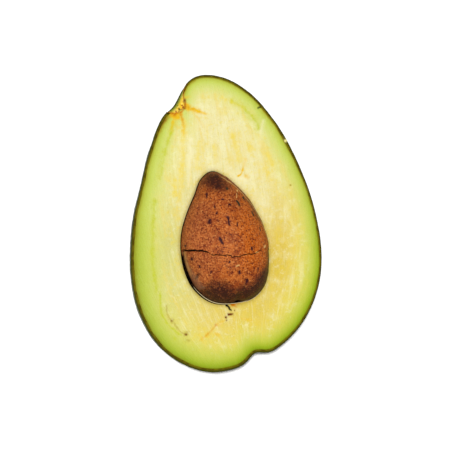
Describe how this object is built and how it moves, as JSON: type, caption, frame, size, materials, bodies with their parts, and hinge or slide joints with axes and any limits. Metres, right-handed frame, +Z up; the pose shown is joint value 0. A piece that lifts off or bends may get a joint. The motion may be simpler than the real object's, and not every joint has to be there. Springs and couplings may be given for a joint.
{
  "type": "avocado half",
  "caption": "Half of a pear-shaped fruit cut lengthways: thin dark peel, flat yellow-green flesh and a brown seed standing out of its hollow. Lies on its round back.",
  "frame": {"origin": "under the middle of the half, at the height of the surface that its round back rests on", "axes": "+Y towards the stem end, along the fruit's length; +Z up, straight out of the cut face; +X to the right of the cut face seen from above with the stem end at the top"},
  "size_m": [0.072, 0.111, 0.0501],
  "materials": {
    "peel": "satin",
    "flesh": "satin",
    "seed": "matte",
    "stem_button": "matte"
  },
  "bodies": {
    "root": {"peel": "peel", "flesh": "flesh", "seed": "seed", "stem_button": "stem_button"}
  },
  "joints": []
}
